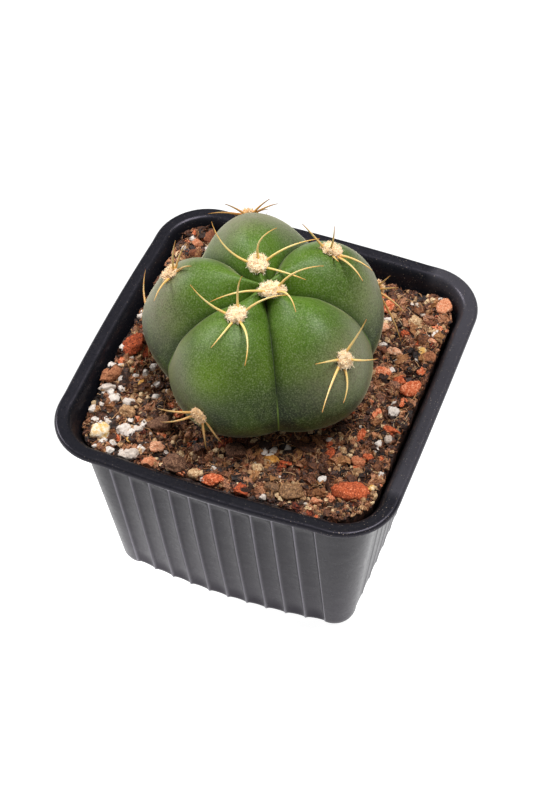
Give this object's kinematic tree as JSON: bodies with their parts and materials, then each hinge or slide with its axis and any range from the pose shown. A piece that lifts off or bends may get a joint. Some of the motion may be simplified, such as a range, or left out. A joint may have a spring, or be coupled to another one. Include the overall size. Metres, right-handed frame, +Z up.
{
  "type": "potted round cactus",
  "caption": "Round cactus with broad ribs, woolly areoles and curved spines, planted in gritty soil in a square fluted black nursery pot.",
  "frame": {"origin": "centre of the pot's flat base, on the surface that the pot stands on", "axes": "+Z up along the pot's middle; +X and +Y square to two of the pot's walls"},
  "size_m": [0.08, 0.08, 0.0927],
  "materials": {
    "pot_plastic": "satin",
    "soil": "matte",
    "cactus_skin": "satin"
  },
  "bodies": {
    "root": {"pot": "pot_plastic", "soil": "soil", "cactus": "cactus_skin"}
  },
  "joints": []
}
